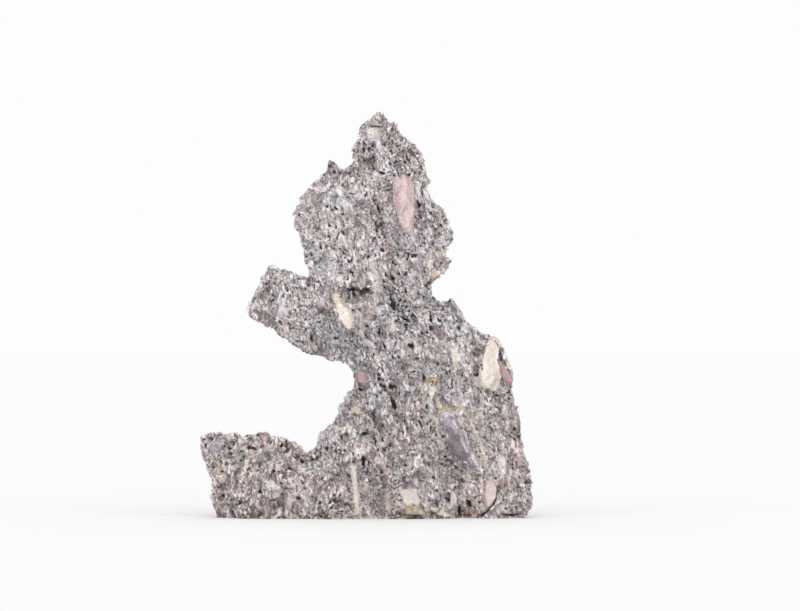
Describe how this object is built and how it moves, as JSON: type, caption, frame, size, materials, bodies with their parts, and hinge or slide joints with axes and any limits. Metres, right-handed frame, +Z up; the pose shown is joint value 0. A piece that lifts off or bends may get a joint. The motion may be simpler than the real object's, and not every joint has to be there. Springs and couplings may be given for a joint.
{
  "type": "ibigawa rock",
  "caption": "Upright craggy slab of weathered breccia with a side arm and a low foot, flat underneath, for a bonsai or viewing-stone display.",
  "frame": {"origin": "middle of the footprint box, on the surface that the stone stands on", "axes": "+Z up, the broad front face looks along -Y, the low foot and the arm reach out towards -X"},
  "size_m": [0.3346, 0.0852, 0.4068],
  "materials": {
    "stone": "rough weathered breccia, grey with white flecks and pink, cream and slate pebbles"
  },
  "bodies": {
    "root": {"rock": "stone"}
  },
  "joints": []
}
